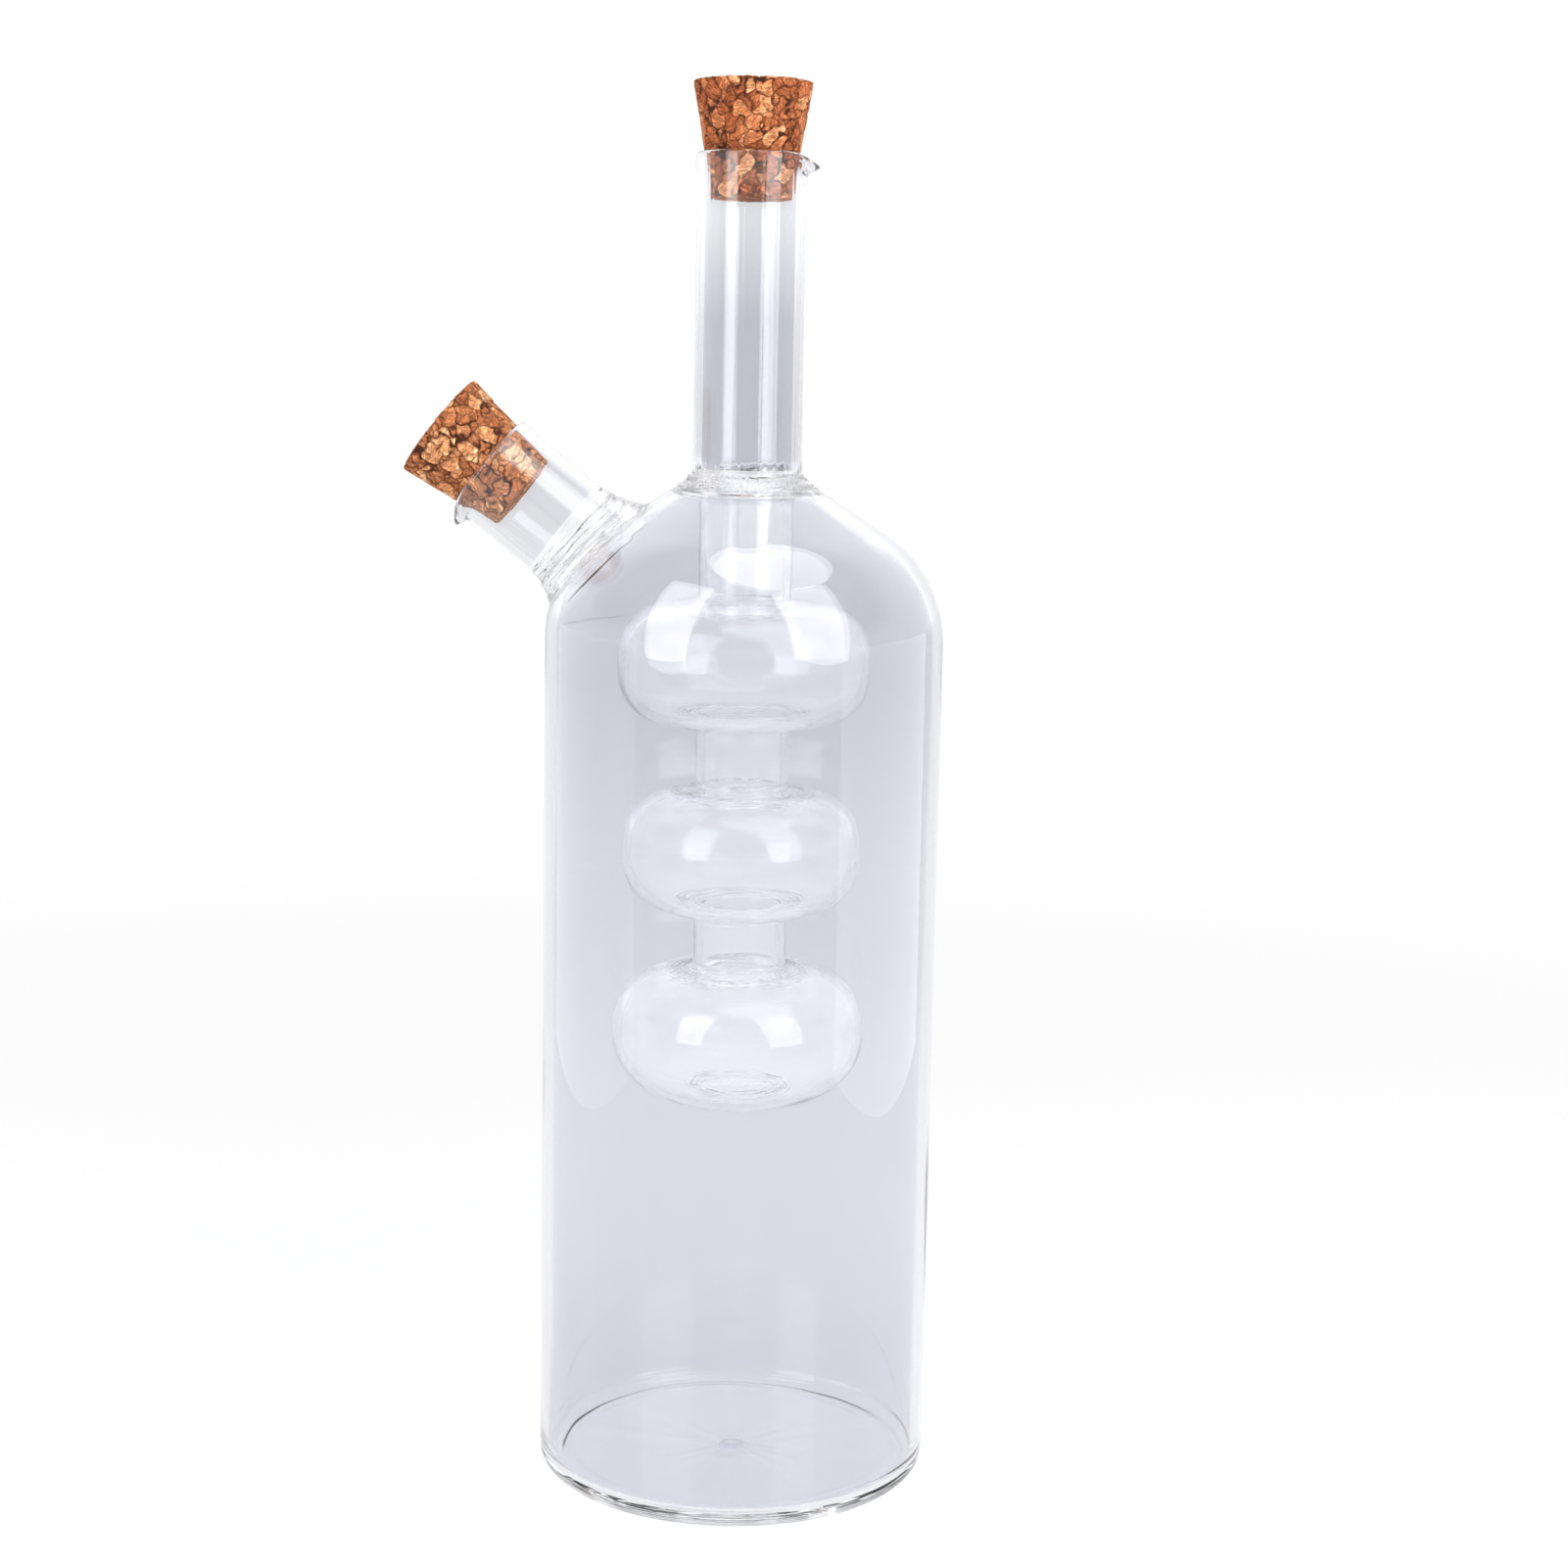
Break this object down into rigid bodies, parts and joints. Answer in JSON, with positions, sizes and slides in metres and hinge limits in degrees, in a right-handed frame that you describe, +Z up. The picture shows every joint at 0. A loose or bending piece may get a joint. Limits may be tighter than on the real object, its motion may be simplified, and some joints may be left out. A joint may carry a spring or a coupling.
{
  "type": "oil and vinegar dispenser",
  "caption": "Clear glass oil and vinegar dispenser: cylindrical bottle with a hanging bulbed inner vessel, a long centre neck and a slanted side spout, each closed by a tapered cork.",
  "frame": {"origin": "on the bottle's axis, in the plane of the flat base it stands on", "axes": "+Z up along the bottle's and the centre neck's axis; +X towards the centre neck's pouring lip; the side spout leaves towards -X in the XZ plane"},
  "size_m": [0.0951, 0.07, 0.246],
  "materials": {
    "clear_glass": "fire-polished clear borosilicate",
    "cork": "matte agglomerated cork granules"
  },
  "bodies": {
    "glassware": {"outer_body": "clear_glass", "neck_weld": "clear_glass", "centre_neck": "clear_glass", "inner_stem": "clear_glass", "upper_bulb": "clear_glass", "upper_link_tube": "clear_glass", "middle_bulb": "clear_glass", "lower_link_tube": "clear_glass", "lower_bulb": "clear_glass", "spout_weld": "clear_glass", "side_spout": "clear_glass"},
    "centre_stopper": {"centre_cork": "cork"},
    "side_stopper": {"side_cork": "cork"}
  },
  "joints": [
    {"name": "centre_cork_pull", "type": "slide", "parent": "glassware", "child": "centre_stopper", "axis": [0, 0, 1], "range_m": [0, 0.03]},
    {"name": "side_cork_pull", "type": "slide", "parent": "glassware", "child": "side_stopper", "axis": [-0.7859, 0, 0.6184], "range_m": [0, 0.03]}
  ]
}
